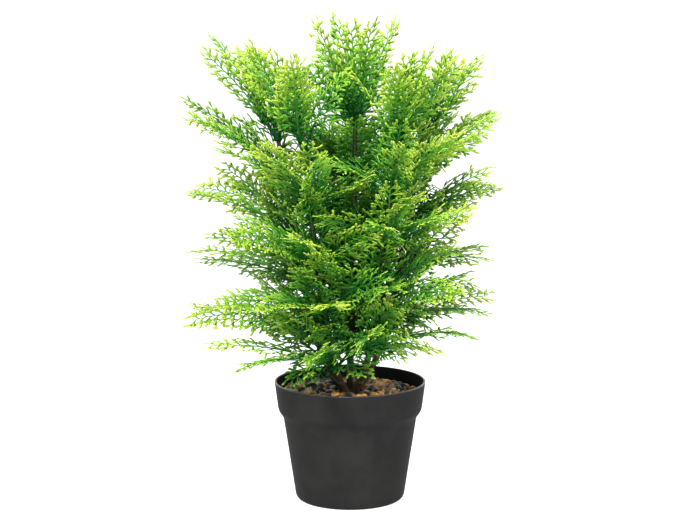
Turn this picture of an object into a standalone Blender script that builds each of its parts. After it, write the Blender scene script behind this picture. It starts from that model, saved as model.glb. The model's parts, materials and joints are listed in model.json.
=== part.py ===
"""Artificial tabletop tree: a nursery pot with a cast plug, a gravel layer, a trunk
base, six wire-cored stems that bend at their feet, and one-piece leaf clusters of
cypress-like sprays pressed onto the stems. Metres, +Z up, origin at the centre of
the pot's flat underside. -Y is the front."""
import math

import bmesh
import bpy
from mathutils import Matrix, Vector

# ---------------------------------------------------------------- fits
CLEARANCE = 0.0003            # between pieces that touch or press together
HUB_CLEARANCE = 0.00035       # between a cluster's hub and its stem
FOOT_GAP = 0.0006             # between a stem's rounded foot and its arm

# ---------------------------------------------------------------- pot
POT_HEIGHT = 0.119
RIM_RADIUS = 0.075
BAND_HEIGHT = 0.029
BAND_FOOT_RADIUS = 0.0712
SHOULDER_HEIGHT = 0.0065
SHOULDER_RADIUS = 0.0663
BASE_RADIUS = 0.0535
BASE_CORNER = 0.006
POT_WALL = 0.0019
POT_FLOOR = 0.0024
LIP_ROUND = 0.0006
POT_SIDES = 40

# ---------------------------------------------------------------- what fills the pot
PLUG_TOP_DEPTH = 0.024        # top of the cast plug below the rim
GRAVEL_DEPTH = 0.0115         # crown of the gravel below the rim
GRAVEL_EDGE_DROP = 0.003
GRAVEL_CENTRE_DROP = 0.004
TRUNK_RADIUS = 0.0095
TRUNK_ROOT_DEPTH = 0.045      # length of the trunk base held in the plug
TRUNK_CROWN_DEPTH = 0.0085    # crown of the trunk base below the rim

# ---------------------------------------------------------------- stems
STEM_AZIMUTHS = {"front_left": -126, "front_right": -54, "right": 18, "back": 90, "left": 162}
STEM_REACH = {"front_left": 1.0, "front_right": 0.93, "right": 0.85, "back": 0.97, "left": 1.02}
LEVEL_REACH = (1.0, 0.90, 0.90, 0.96, 0.88)
PIVOT_RADIUS = 0.013
PIVOT_DEPTH = 0.003           # stem pivots below the rim
STEM_LENGTH = 0.262
CENTRE_LENGTH = 0.268
LEAN_FOOT = 42                # degrees from upright
LEAN_TOP = 10
LEAN_FADE = 0.035             # length over which the foot's lean fades
FOOT_RADIUS = 0.0034
TIP_RADIUS = 0.0022
WIRE_RADIUS = 0.0009
ROUTE_STEPS = 12
ARM_LENGTH = 0.012

# ---------------------------------------------------------------- leaf clusters
CLUSTERS_PER_STEM = 5
FIRST_STATION = 0.165         # share of the stem's length
LAST_STATION = 0.965
STAGGER = 0.13                # share by which neighbouring stems' clusters differ
HUB_LENGTH = 0.009
HUB_WALL = 0.0019
FROND_LENGTH = 0.128
FROND_HALF_WIDTH = 0.0235
CENTRE_HALF_WIDTH = 0.018     # narrower, to pass between the outer stems
FROND_THICKNESS = 0.0009
FROND_ROOT_HALF_WIDTH = 0.0013
FROND_STEPS = 7
FAN = 34                      # degrees between the sprays of a cluster
SPRAYS_PER_CLUSTER = 3
SIDE_SHORTENING = 0.07        # share by which a cluster's side sprays are shorter
TURN_OFFSET = 6               # degrees a cluster turns, the other way on every second one
START_SLOPE = 30              # degrees from level where a low spray leaves its hub
START_RISE = 34               # added to it at the stem's tip
END_SLOPE = -6                # the same two at a spray's end
END_RISE = 50
SLOPE_SCATTER = 7             # degrees by which the sprays' slopes vary
ROLL_SCATTER = 50             # degrees by which the sprays are rolled
GOLDEN_SHARE = 0.618034
HUB_SIDES = 8
LOW_SPRAY_AZIMUTH = -162
LOW_SPRAY_TURN = 20
LOW_SPRAY_LENGTH = 0.060
LOW_SPRAY_HALF_WIDTH = 0.015
LOW_SPRAY_START = 58          # degrees from level
LOW_SPRAY_END = -45
LOW_SPRAY_ROLL = -25
PEG_RADIUS = 0.0013
PEG_LENGTH = 0.0162
PEG_LEAN = 45


# ---------------------------------------------------------------- scene helpers
def clear_scene():
    for old in list(bpy.data.objects):
        bpy.data.objects.remove(old, do_unlink=True)


def collection(name):
    made = bpy.data.collections.new(name)
    bpy.context.scene.collection.children.link(made)
    return made


def material(name, colour, roughness, metallic=0.0):
    made = bpy.data.materials.new(name)
    made.use_nodes = True
    shader = made.node_tree.nodes["Principled BSDF"]
    shader.inputs["Base Color"].default_value = (*colour, 1.0)
    shader.inputs["Roughness"].default_value = roughness
    shader.inputs["Metallic"].default_value = metallic
    return made


def place(name, mesh, finish, parent=None, location=(0, 0, 0)):
    """A named part in the tree's collection."""
    item = bpy.data.objects.new(name, mesh)
    TREE.objects.link(item)
    item.location = location
    item.parent = parent
    mesh.materials.clear()
    mesh.materials.append(finish)
    return item


def guide(name, mesh):
    """A shape used only to cut or join another."""
    item = bpy.data.objects.new(name, mesh)
    SHAPES.objects.link(item)
    item.hide_render = True
    item.display_type = "WIRE"
    return item


def boolean(item, other, operation):
    step = item.modifiers.new(operation.lower() + "_" + other.name, "BOOLEAN")
    step.operation = operation
    step.solver = "EXACT"
    step.object = other


def turned_mesh(name, profile, sides):
    """Closed (radius, height) profile turned round Z, as a mesh with sharp corners kept."""
    mesh = bpy.data.meshes.new(name)
    count = len(profile)
    edges = [(i, (i + 1) % count) for i in range(count)]
    closed = profile[0][0] > 0 and profile[-1][0] > 0
    mesh.from_pydata([(r, 0, z) for r, z in profile], edges if closed else edges[:-1], [])
    holder = bpy.data.objects.new(name + "_profile", mesh)
    SHAPES.objects.link(holder)
    turn = holder.modifiers.new("turn", "SCREW")
    turn.steps = sides
    turn.render_steps = sides
    turn.use_merge_vertices = True
    turn.merge_threshold = 0.00001
    result = evaluated_mesh(holder, name)
    result.shade_smooth()
    result.set_sharp_from_angle(angle=math.radians(40))
    return result


def evaluated_mesh(holder, name):
    """The mesh that an object's modifiers or curve give; the object is removed."""
    graph = bpy.context.evaluated_depsgraph_get()
    graph.update()
    result = bpy.data.meshes.new_from_object(holder.evaluated_get(graph))
    result.name = name
    bpy.data.objects.remove(holder, do_unlink=True)
    return result


def tube_mesh(name, points, radii, resolution):
    """A tapered tube through the points, its end caps welded on."""
    curve = bpy.data.curves.new(name, "CURVE")
    curve.dimensions = "3D"
    curve.bevel_depth = 1.0
    curve.bevel_resolution = resolution
    curve.use_fill_caps = True
    spline = curve.splines.new("POLY")
    spline.points.add(len(points) - 1)
    for knot, point, radius in zip(spline.points, points, radii):
        knot.co = (*point, 1)
        knot.radius = radius
    holder = bpy.data.objects.new(name, curve)
    SHAPES.objects.link(holder)
    result = evaluated_mesh(holder, name)
    shell = bmesh.new()
    shell.from_mesh(result)
    bmesh.ops.remove_doubles(shell, verts=shell.verts, dist=0.000001)
    shell.to_mesh(result)
    shell.free()
    result.shade_smooth()
    return result


# ---------------------------------------------------------------- shared geometry
def arc_point(length, start, end, share):
    """Run, rise and slope at a share of an arc whose slope turns from start to end."""
    turn = end - start
    slope = start + turn * share
    run = length / turn * (math.sin(slope) - math.sin(start))
    rise = length / turn * (math.cos(start) - math.cos(slope))
    return run, rise, slope


def pot_outer_radius(z):
    """Outer radius of the pot's side at a height."""
    band_foot = POT_HEIGHT - BAND_HEIGHT
    shoulder = band_foot - SHOULDER_HEIGHT
    levels = [(0, BASE_RADIUS), (shoulder, SHOULDER_RADIUS), (band_foot, BAND_FOOT_RADIUS),
              (POT_HEIGHT, RIM_RADIUS)]
    for (z0, r0), (z1, r1) in zip(levels, levels[1:]):
        if z <= z1:
            return r0 + (r1 - r0) * (z - z0) / (z1 - z0)
    return RIM_RADIUS


def bore_side(z):
    """Inner radius of the pot's side at a height."""
    return pot_outer_radius(z) - POT_WALL


def wall_levels(bottom, top):
    """Heights at which the pot's inner side changes slope, between two levels."""
    band_foot = POT_HEIGHT - BAND_HEIGHT
    kinks = [band_foot - SHOULDER_HEIGHT, band_foot]
    return [bottom] + [z for z in kinks if bottom < z < top] + [top]


def stem_route(length, foot_lean, top_lean):
    """Points and leans of a stem from its pivot, in its own plane (x outward, z up)."""
    points = [Vector((0, 0, 0))]
    leans = [math.radians(foot_lean)]
    step = length / ROUTE_STEPS
    for i in range(ROUTE_STEPS):
        middle = (i + 0.5) * step
        lean = math.radians(top_lean + (foot_lean - top_lean) * math.exp(-middle / LEAN_FADE))
        points.append(points[-1] + step * Vector((math.sin(lean), 0, math.cos(lean))))
        leans.append(lean)
    return points, leans


def route_point(route, share):
    """Point and lean at a share of a stem's route."""
    points, leans = route
    place_on = share * ROUTE_STEPS
    i = min(int(place_on), ROUTE_STEPS - 1)
    return points[i].lerp(points[i + 1], place_on - i), leans[i + 1]


def stem_radius(share):
    return FOOT_RADIUS + (TIP_RADIUS - FOOT_RADIUS) * share


def wobble(number):
    """An even, repeatable scatter between -1 and 1."""
    return 2 * ((number * GOLDEN_SHARE) % 1) - 1


def cluster_plan(order, index, reach):
    """Station and sprays (turn, length, start slope, end slope, roll) of one cluster.

    Sprays lie flatter and longer low on the stem, and stand up at its tip."""
    spacing = (LAST_STATION - FIRST_STATION) / (CLUSTERS_PER_STEM - 1)
    last = index == CLUSTERS_PER_STEM - 1
    phase = (order * 2 % len(STEM_AZIMUTHS)) / (len(STEM_AZIMUTHS) - 1) - 0.5
    station = LAST_STATION if last else FIRST_STATION + index * spacing + STAGGER * phase
    height = index / (CLUSTERS_PER_STEM - 1)
    sprays = []
    for k in (-1, 0, 1):
        number = SPRAYS_PER_CLUSTER * (order * CLUSTERS_PER_STEM + index) + k
        turn = FAN * k + (TURN_OFFSET if index % 2 else -TURN_OFFSET)
        length = FROND_LENGTH * reach * LEVEL_REACH[index] * (1 - SIDE_SHORTENING * abs(k))
        start = START_SLOPE + START_RISE * height ** 2 + SLOPE_SCATTER * wobble(number)
        end = END_SLOPE + END_RISE * height ** 2 + SLOPE_SCATTER * wobble(number + 0.5)
        roll = ROLL_SCATTER * wobble(2 * number + 1)
        sprays.append((turn, length, start, end, roll))
    return station, sprays


def centre_plan(index):
    """The same for the centre stem, whose sprays point into the gaps between the outer
    stems and, at its top, stand above them."""
    station = (0.39, 0.57, 0.745, 0.965)[index]
    length = FROND_LENGTH * (0.72, 0.72, 0.70, 0.84)[index]
    start = (44, 52, 60, 76)[index]
    end = (14, 22, 34, 60)[index]
    gap = 360 / len(STEM_AZIMUTHS)
    if index == 3:
        turns = [-66 + 90 * k for k in range(4)]
    else:
        turns = [-90 + gap * k for k in ((0, 2, 4), (1, 3, 5), (0, 2, 3, 4))[index]]
    return station, [(turn, length, start, end, 10) for turn in turns]


# ---------------------------------------------------------------- pieces
def make_pot():
    band_foot = POT_HEIGHT - BAND_HEIGHT
    shoulder = band_foot - SHOULDER_HEIGHT
    corner = [(BASE_RADIUS - BASE_CORNER * (1 - math.sin(t)), BASE_CORNER * (1 - math.cos(t)))
              for t in (math.radians(a) for a in (75, 50, 25, 0))]
    outer = [(RIM_RADIUS - LIP_ROUND, POT_HEIGHT), (RIM_RADIUS, POT_HEIGHT - LIP_ROUND),
             (BAND_FOOT_RADIUS, band_foot), (SHOULDER_RADIUS, shoulder)] + corner
    inner_corner = BASE_RADIUS - POT_WALL - BASE_CORNER * 0.5
    inner = [(inner_corner, POT_FLOOR), (bore_side(POT_FLOOR + BASE_CORNER * 0.5),
                                         POT_FLOOR + BASE_CORNER * 0.5),
             (bore_side(shoulder), shoulder), (bore_side(band_foot), band_foot),
             (RIM_RADIUS - POT_WALL, POT_HEIGHT - LIP_ROUND),
             (RIM_RADIUS - POT_WALL + LIP_ROUND, POT_HEIGHT)]
    profile = [(r, z) for r, z in outer] + [(0, 0), (0, POT_FLOOR)] + inner
    mesh = turned_with_axis("pot", profile, POT_SIDES)
    return place("pot", mesh, POT_PLASTIC)


def turned_with_axis(name, profile, sides):
    """A profile that touches the axis at two neighbouring points, turned into a solid."""
    start = next(i for i, (r, _) in enumerate(profile) if r == 0)
    run = profile[start + 1:] + profile[:start + 1]
    return turned_mesh(name, run, sides)


def make_plug():
    """Cast plug that fills the pot below the gravel, with a hole for the trunk base."""
    bottom = POT_FLOOR + CLEARANCE
    top = POT_HEIGHT - PLUG_TOP_DEPTH
    chamfer = BASE_CORNER * 0.5 + CLEARANCE
    fit = CLEARANCE / math.cos(math.pi / POT_SIDES) + RIM_RADIUS * (1 - math.cos(math.pi / POT_SIDES))
    side = [(bore_side(z) - fit, z) for z in reversed(wall_levels(bottom + chamfer, top))]
    hole = TRUNK_RADIUS + CLEARANCE * 2
    hole_foot = top - TRUNK_ROOT_DEPTH - CLEARANCE * 2
    profile = side + [(side[-1][0] - chamfer * 1.2, bottom), (0, bottom), (0, hole_foot),
                      (hole, hole_foot), (hole, top)]
    return place("cast_plug", turned_with_axis("cast_plug", profile, POT_SIDES), CEMENT)


def make_gravel():
    """Bonded gravel: a shallow ring, crowned between its centre and its edge."""
    bottom = POT_HEIGHT - PLUG_TOP_DEPTH + CLEARANCE
    crown = POT_HEIGHT - GRAVEL_DEPTH
    edge_z = crown - GRAVEL_EDGE_DROP
    fit = CLEARANCE * 2 + RIM_RADIUS * (1 - math.cos(math.pi / POT_SIDES))
    outer = bore_side(edge_z) - fit
    hole = TRUNK_RADIUS + CLEARANCE * 3
    side = [(bore_side(z) - fit, z) for z in reversed(wall_levels(bottom, edge_z))]
    crown_ring = [(hole + (outer - hole) * share,
                   crown - GRAVEL_CENTRE_DROP * (1 - share / 0.4) ** 2 if share < 0.4
                   else crown - GRAVEL_EDGE_DROP * ((share - 0.4) / 0.6) ** 2)
                  for share in (0.0, 0.15, 0.3, 0.5, 0.75)]
    profile = crown_ring + side + [(hole, bottom)]
    return place("gravel_layer", turned_mesh("gravel_layer", profile, POT_SIDES), GRAVEL)


def stem_frame(azimuth, radius):
    """Empty on a stem's pivot, x pointing outward."""
    pivot = bpy.data.objects.new("pivot", None)
    TREE.objects.link(pivot)
    turn = math.radians(azimuth)
    pivot.location = (radius * math.cos(turn), radius * math.sin(turn), POT_HEIGHT - PIVOT_DEPTH)
    pivot.rotation_euler = (0, 0, turn)
    return pivot


def make_trunk_base(frames, peg_frame):
    """Moulded stub cast into the plug, with an arm towards each stem's foot and a peg."""
    root = POT_HEIGHT - PLUG_TOP_DEPTH - TRUNK_ROOT_DEPTH
    crown = POT_HEIGHT - TRUNK_CROWN_DEPTH
    neck = crown - 0.004
    profile = [(TRUNK_RADIUS * 0.7, crown), (TRUNK_RADIUS, neck), (TRUNK_RADIUS, root + 0.003),
               (TRUNK_RADIUS * 0.75, root), (0, root), (0, crown)]
    trunk = place("trunk_base", turned_with_axis("trunk_base", profile, 20), BARK)
    for pivot, foot_lean in frames:
        lean = math.radians(foot_lean)
        along = Vector((math.sin(lean), 0, math.cos(lean)))
        top = -along * (FOOT_RADIUS + FOOT_GAP)
        low = top - along * ARM_LENGTH
        mesh = tube_mesh("arm", [low, top], [FOOT_RADIUS * 1.05, FOOT_RADIUS * 0.9], 3)
        arm = guide("arm_shape", mesh)
        arm.parent = pivot
        boolean(trunk, arm, "UNION")
    lean = math.radians(PEG_LEAN)
    along = Vector((math.sin(lean), 0, math.cos(lean)))
    ends = [-along * 0.003, along * PEG_LENGTH]
    peg = guide("peg_shape", tube_mesh("peg", ends, [PEG_RADIUS, PEG_RADIUS], 2))
    peg.parent = peg_frame
    boolean(trunk, peg, "UNION")
    return trunk


def make_stem(name, pivot, route):
    """Tapered stem with a rounded foot on its pivot, bored for its wire core."""
    points, leans = route
    along = Vector((math.sin(leans[0]), 0, math.cos(leans[0])))
    foot = [(-0.86, 0.51), (-0.55, 0.835)]
    path = [along * (FOOT_RADIUS * back) for back, _ in foot] + points
    radii = [FOOT_RADIUS * wide for _, wide in foot]
    radii += [stem_radius(i / ROUTE_STEPS) for i in range(ROUTE_STEPS + 1)]
    stem = place("stem_" + name, tube_mesh("stem", path, radii, 2), BARK, pivot)
    bore_path = [-along * FOOT_RADIUS * 2] + points[:-1]
    bore_radius = WIRE_RADIUS + CLEARANCE
    bore = guide("bore_shape_" + name, tube_mesh("bore", bore_path, [bore_radius] * len(bore_path), 1))
    bore.parent = pivot
    boolean(stem, bore, "DIFFERENCE")
    wire_path = [along * CLEARANCE - along * FOOT_RADIUS * 0.5] + points[1:-2]
    wire_mesh = tube_mesh("wire", wire_path, [WIRE_RADIUS] * len(wire_path), 1)
    place("wire_core_" + name, wire_mesh, STEEL, pivot)
    return stem


def frond_mesh(turn, root, length, start, end, roll, half_width):
    """Spray blade: a grid bent along an arc, with saw-toothed edges."""
    mesh = bpy.data.meshes.new("frond")
    shell = bmesh.new()
    bmesh.ops.create_grid(shell, x_segments=FROND_STEPS, y_segments=1, size=1)
    heading = Matrix.Rotation(math.radians(turn), 3, "Z")
    tilt = math.radians(roll)
    for vert in shell.verts:
        along = (vert.co.x + 1) / 2
        side = vert.co.y
        run, rise, slope = arc_point(length, math.radians(start), math.radians(end), along)
        normal = Vector((-math.sin(slope), 0, math.cos(slope)))
        grown = min(1.0, along / 0.12)
        across = Vector((0, math.cos(tilt * grown), 0)) + normal * math.sin(tilt * grown)
        notch = 0.72 if round(along * FROND_STEPS) % 2 else 1.0
        swell = (along / 0.38) ** 0.75 if along < 0.38 else ((1 - along) / 0.62) ** 0.6
        half = FROND_ROOT_HALF_WIDTH + (half_width * notch - FROND_ROOT_HALF_WIDTH) * swell
        vert.co = heading @ (Vector((root + run, 0, rise)) + across * half * side)
    shell.normal_update()
    shell.to_mesh(mesh)
    shell.free()
    return mesh


def thick_frond(name, mesh):
    blade = guide(name, mesh)
    solid = blade.modifiers.new("thickness", "SOLIDIFY")
    solid.thickness = FROND_THICKNESS
    solid.offset = 0
    solid.use_even_offset = False
    return blade


def make_cluster(name, parent, place_on, lean, shaft_radius, sprays, half_width):
    """One moulding: a hub that is pressed onto a shaft, and its sprays."""
    flat = math.cos(math.pi / HUB_SIDES)
    bore = (shaft_radius + HUB_CLEARANCE) / flat
    outer = bore + HUB_WALL
    half = HUB_LENGTH / 2
    ring = [(outer - HUB_WALL / 4, half), (outer, -half), (bore, -half), (bore, half)]
    hub = turned_mesh("hub", ring, HUB_SIDES)
    hub.transform(Matrix.Rotation(lean, 4, "Y"))
    cluster = place(name, hub, FOLIAGE, parent, place_on)
    root = (bore + CLEARANCE * 2) / math.cos(lean)
    for k, (turn, length, start, end, roll) in enumerate(sprays):
        mesh = frond_mesh(turn, root, length, start, end, roll, half_width)
        blade = thick_frond("%s_spray_%d" % (name, k + 1), mesh)
        blade.parent = cluster
        boolean(cluster, blade, "UNION")
    return cluster


def make_stem_clusters(name, frame, route, length, plans, half_width):
    """The clusters along one stem."""
    for level, (station, sprays) in enumerate(plans):
        point, lean = route_point(route, station)
        shaft = stem_radius(max(0, station - HUB_LENGTH / 2 / length))
        label = "leaf_cluster_%s_%d" % (name, level + 1)
        make_cluster(label, frame, point, lean, shaft, sprays, half_width)


def low_spray_frame():
    """Empty on the trunk base's side, where the peg of the low spray starts."""
    frame = stem_frame(LOW_SPRAY_AZIMUTH, TRUNK_RADIUS / 2)
    frame.location.z = POT_HEIGHT - TRUNK_CROWN_DEPTH - 0.002
    return frame


def make_low_spray(frame):
    """Short spray on a peg of the trunk base, which arches over the pot's rim."""
    lean = math.radians(PEG_LEAN)
    middle = Vector((math.sin(lean), 0, math.cos(lean))) * (PEG_LENGTH - HUB_LENGTH / 2)
    spray = (LOW_SPRAY_TURN, LOW_SPRAY_LENGTH, LOW_SPRAY_START, LOW_SPRAY_END, LOW_SPRAY_ROLL)
    make_cluster("leaf_spray_low", frame, middle, lean, PEG_RADIUS, [spray], LOW_SPRAY_HALF_WIDTH)


clear_scene()
TREE = collection("artificial_tree")
SHAPES = collection("shapes_for_cutting_and_joining")
POT_PLASTIC = material("pot_plastic", (0.035, 0.035, 0.035), 0.6)
CEMENT = material("cement", (0.42, 0.40, 0.37), 0.9)
GRAVEL = material("gravel", (0.42, 0.27, 0.13), 0.6)
BARK = material("bark_plastic", (0.11, 0.055, 0.02), 0.65)
STEEL = material("steel_wire", (0.55, 0.55, 0.56), 0.35, 1.0)
FOLIAGE = material("foliage_plastic", (0.10, 0.30, 0.04), 0.5)

OUTER_ROUTE = stem_route(STEM_LENGTH, LEAN_FOOT, LEAN_TOP)
CENTRE_ROUTE = stem_route(CENTRE_LENGTH, 2, 1)

make_pot()
make_plug()
make_gravel()
outer_frames = {name: stem_frame(azimuth, PIVOT_RADIUS) for name, azimuth in STEM_AZIMUTHS.items()}
centre_frame = stem_frame(0, 0)
low_frame = low_spray_frame()
make_trunk_base([(frame, LEAN_FOOT) for frame in outer_frames.values()] + [(centre_frame, 2)], low_frame)
make_low_spray(low_frame)
for number, (stem_name, frame) in enumerate(outer_frames.items()):
    make_stem(stem_name, frame, OUTER_ROUTE)
    plans = [cluster_plan(number, level, STEM_REACH[stem_name]) for level in range(CLUSTERS_PER_STEM)]
    make_stem_clusters(stem_name, frame, OUTER_ROUTE, STEM_LENGTH, plans, FROND_HALF_WIDTH)
make_stem("centre", centre_frame, CENTRE_ROUTE)
centre_plans = [centre_plan(k) for k in range(4)]
make_stem_clusters("centre", centre_frame, CENTRE_ROUTE, CENTRE_LENGTH, centre_plans, CENTRE_HALF_WIDTH)
bpy.context.view_layer.update()
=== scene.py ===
"""Looks of the artificial tabletop tree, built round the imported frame. Metres, +Z up."""
import json
import math

import bmesh
import bpy
import numpy as np
from mathutils import Matrix, Vector, noise


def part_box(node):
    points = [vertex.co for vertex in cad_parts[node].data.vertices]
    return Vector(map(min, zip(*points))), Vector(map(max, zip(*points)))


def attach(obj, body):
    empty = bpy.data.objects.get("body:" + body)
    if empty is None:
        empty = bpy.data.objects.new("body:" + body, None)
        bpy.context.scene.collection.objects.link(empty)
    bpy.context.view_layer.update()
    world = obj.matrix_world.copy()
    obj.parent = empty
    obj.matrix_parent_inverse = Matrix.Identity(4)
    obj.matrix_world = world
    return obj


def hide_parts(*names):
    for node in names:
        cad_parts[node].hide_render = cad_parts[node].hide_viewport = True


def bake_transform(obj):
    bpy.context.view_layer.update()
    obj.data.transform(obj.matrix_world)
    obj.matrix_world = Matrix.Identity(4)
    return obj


# ---------------------------------------------------------------- view
CAMERA_DISTANCE = 1.8
CAMERA_HEIGHT = 0.508
LOOK_HEIGHT = 0.237
LENS = 95.2

# ---------------------------------------------------------------- stage
BACKDROP_GLOW = 0.95
WORLD_STRENGTH = 0.16
STAGE_FRONT = -6.0            # near edge of the floor
STAGE_HALF_WIDTH = 7
BEND_START = 2.6              # where the floor starts to curve up
BEND_RADIUS = 1.4
BACKDROP_TOP = 7.0

# ---------------------------------------------------------------- stems, as in the frame
# The reaches are a little shorter, for the branches extend past the frame's plain blades.
LEAN_FOOT = 42                # degrees from upright
LEAN_TOP = 10
LEAN_FADE = 0.035
CENTRE_LEANS = (2, 1)
STEM_LENGTH = 0.262
CENTRE_LENGTH = 0.268
FOOT_RADIUS = 0.0034
TIP_RADIUS = 0.0022
ROUTE_STEPS = 12
STEM_STEPS = 150
STEM_SIDES = 22
COARSE_BARK = (420, 420, 90)  # waves of the bark's relief, per metre
FINE_BARK = (1100, 1100, 260)
SLEEVE_START = -0.0125        # along the stem from its pivot
SLEEVE_LENGTH = 0.0195
SLEEVE_STEPS = 40
CLUSTERS_PER_STEM = 5
FIRST_STATION = 0.165
LAST_STATION = 0.965
STAGGER = 0.13
HUB_LENGTH = 0.009
FAN = 34                      # degrees between the sprays of a cluster
TURN_OFFSET = 6               # degrees a cluster turns, the other way on every second one
STEM_REACH = {"front_left": 1.0, "front_right": 0.90, "right": 0.825, "back": 0.97, "left": 1.02}
LEVEL_REACH = (1.0, 0.86, 0.86, 0.905, 0.85)
SPRAYS_PER_CLUSTER = 3
SIDE_SHORTENING = 0.07
START_SLOPE = 30              # degrees from level where a low spray leaves its hub
START_RISE = 34               # added to it at the stem's tip
END_SLOPE = -6                # the same two at a spray's end
END_RISE = 50
SLOPE_SCATTER = 7
ROLL_SCATTER = 50
GOLDEN_SHARE = 0.618034
CENTRE_STATIONS = (0.39, 0.57, 0.745, 0.965)
CENTRE_REACH = (0.72, 0.72, 0.70, 0.79)
CENTRE_STARTS = (44, 52, 60, 76)
CENTRE_ENDS = (14, 22, 34, 60)
CENTRE_GAPS = ((0, 2, 4), (1, 3, 5), (0, 2, 3, 4))
CENTRE_ROLL = 10
CENTRE_NUMBER = 9             # stands for the stem's order in the seeds of its sprays

# ---------------------------------------------------------------- sprays
FROND_LENGTH = 0.128
FROND_HALF_WIDTH = 0.0245
CENTRE_HALF_WIDTH = 0.022
RACHIS_HALF_WIDTH = 0.0013
RACHIS_TAPER = 0.68
RACHIS_STEPS = 22
RACHIS_SIDES = 6
SWAY = 0.02                   # share of its length by which a spray's rachis wanders
SWAY_TURNS = 3.0              # radians of that wave along a spray
SHADED_HEART_RADIUS = 0.030          # inside this the tips are painted darker, as painted shade in the tree's heart
UNSHADED_CROWN_RADIUS = 0.120          # from here out the tips carry no painted shade and are fully yellow-green
SHADED_HEART_TOP = 0.355
FIRST_PINNA = 0.07            # share of a spray's length
LAST_PINNA = 0.975
PINNA_ANGLE = 50              # degrees from the rachis, at a spray's root
PINNA_ANGLE_FALL = 13         # taken off it towards the tip
PINNA_HALF_WIDTH = 0.00078
PINNA_GAP = 0.0124
PINNA_GAP_FALL = 0.42
PINNA_CURVE = 0.15
PINNA_RINGS = (0, 0.3, 0.62, 0.8, 0.9, 0.97, 1.0)     # share of the length
PINNA_WIDTHS = (1.2, 1.0, 0.95, 1.0, 1.55, 1.4, 0.6)
FIRST_LOBE = 0.19             # share of a pinna's length
LAST_LOBE = 0.93
LOBE_ANGLE = 36               # degrees from the pinna
LOBE_LENGTH = 0.0126
LOBE_GAP = 0.0066
LOBE_HALF_WIDTH = 0.00145
LOBE_CURVE = 0.13
LOBE_RINGS = (0, 0.4, 0.74, 0.93, 1.0)
LOBE_WIDTHS = (0.56, 0.76, 1.0, 0.86, 0.40)
FORK_CHANCE = 0.22            # for lobes longer than the next value
FORKED_LOBE = 0.0066
FORK_ANGLE = 42
FORK_RINGS = (0, 0.6, 0.9, 1.0)
FORK_WIDTHS = (0.60, 1.0, 0.84, 0.36)
FULL_PINNA = 0.028            # a pinna this long has full-sized lobes
CUP_SPAN = 0.027              # half-width at which a spray's cup is stated
UP = np.array([[0, 0, 1.0]])
HUB_SIDES = 20
HUB_CLEARANCE = 0.0003
HUB_WALL = 0.0012

# ---------------------------------------------------------------- how the greens and the heart's painted shade spread
TIPS_IN_SHADED_HEART = 0.60          # how much lighter tips are than roots in the heart, where painted shade keeps them dark
TIPS_UNSHADED_BY_RADIUS = 0.50         # added to it at the crown, where the painted shade ends
CLOUD_SHARE = 0.34
TINT_SHARE = 0.20
TONE_OFFSET = 0.22

# ---------------------------------------------------------------- the low spray on its peg
LOW_SPRAY_AZIMUTH = -162
LOW_SPRAY_TURN = 20
LOW_SPRAY_LENGTH = 0.060
LOW_SPRAY_HALF_WIDTH = 0.019
LOW_SPRAY_START = 60
LOW_SPRAY_END = -40
LOW_SPRAY_ROLL = -25
LOW_SPRAY_SEED = 900
PEG_LEAN = 45
PEG_RADIUS = 0.0013
PEG_LENGTH = 0.0162
PEG_OUT = 0.00475             # the peg's root from the trunk's axis
PEG_DEPTH = 0.0105            # the peg's root below the rim

# ---------------------------------------------------------------- pot and gravel
POT_SIDES = 160
LIP_DEPTH = 0.0011
LIP_ROUND = 0.0007
LIP_STEP = 0.0002
POT_WALL = 0.0019
POT_FLOOR = 0.0024
BASE_RADIUS = 0.0535
BASE_ROUND = 0.0058
INNER_BASE_RADIUS = 0.052
SHOULDER = (0.0663, 0.0835)   # radius and height of the side below the band
BAND_FOOT = (0.0712, 0.090)
SHOULDER_ROUND = 0.0032
INNER_ROUND = 0.003
INNER_RISE = 0.0005           # the band's foot is this much higher inside
AXIS_HOLE = 0.0002            # the profile stops this far from the axis
GRAVEL_STONES = 620
GRAVEL_TRIES = 60000
LARGE_TRIES = 20000           # tries that place large stones; the rest fill the gaps
GRAVEL_DEPTH = 0.0115         # crown of the gravel below the rim
GRAVEL_HOLE = 0.0104          # radius the trunk base takes up
GRAVEL_RADIUS = 0.070
GRAVEL_CENTRE_DROP = 0.004
GRAVEL_EDGE_DROP = 0.003
CROWN_SHARE = 0.4             # where the gravel is highest
STONE_LIMIT = 0.0690
STONE_START = 0.0135
PEBBLE_SHARE = 0.4

rng = np.random.default_rng(7)


# ---------------------------------------------------------------- mesh helpers
def new_object(name, mesh, finish):
    item = bpy.data.objects.new(name, mesh)
    bpy.context.scene.collection.objects.link(item)
    mesh.materials.clear()
    mesh.materials.append(finish)
    return item


def mesh_of(name, points, faces, **values):
    """A smooth mesh from arrays, with one float attribute for each keyword."""
    mesh = bpy.data.meshes.new(name)
    mesh.from_pydata(points.tolist(), [], faces.tolist() if hasattr(faces, "tolist") else faces)
    for key, data in values.items():
        layer = mesh.attributes.new(key, "FLOAT", "POINT")
        layer.data.foreach_set("value", np.asarray(data, dtype=np.float32))
    mesh.shade_smooth()
    return mesh


def unit(v):
    return v / np.linalg.norm(v, axis=-1, keepdims=True)


def column(values):
    """One value a row, ready to multiply vectors."""
    return values[:, None]


def turned_about_z(points, degrees):
    h = math.radians(degrees)
    c, s = math.cos(h), math.sin(h)
    return np.stack([points[:, 0] * c - points[:, 1] * s, points[:, 0] * s + points[:, 1] * c,
                     points[:, 2]], axis=1)


def revolved(profile, sides):
    """Points of a (radius, height) profile turned round Z, one ring after another."""
    turn = np.arange(sides) / sides * 2 * math.pi
    return np.array([[(r * math.cos(t), r * math.sin(t), z) for t in turn]
                     for r, z in profile]).reshape(-1, 3)


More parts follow.
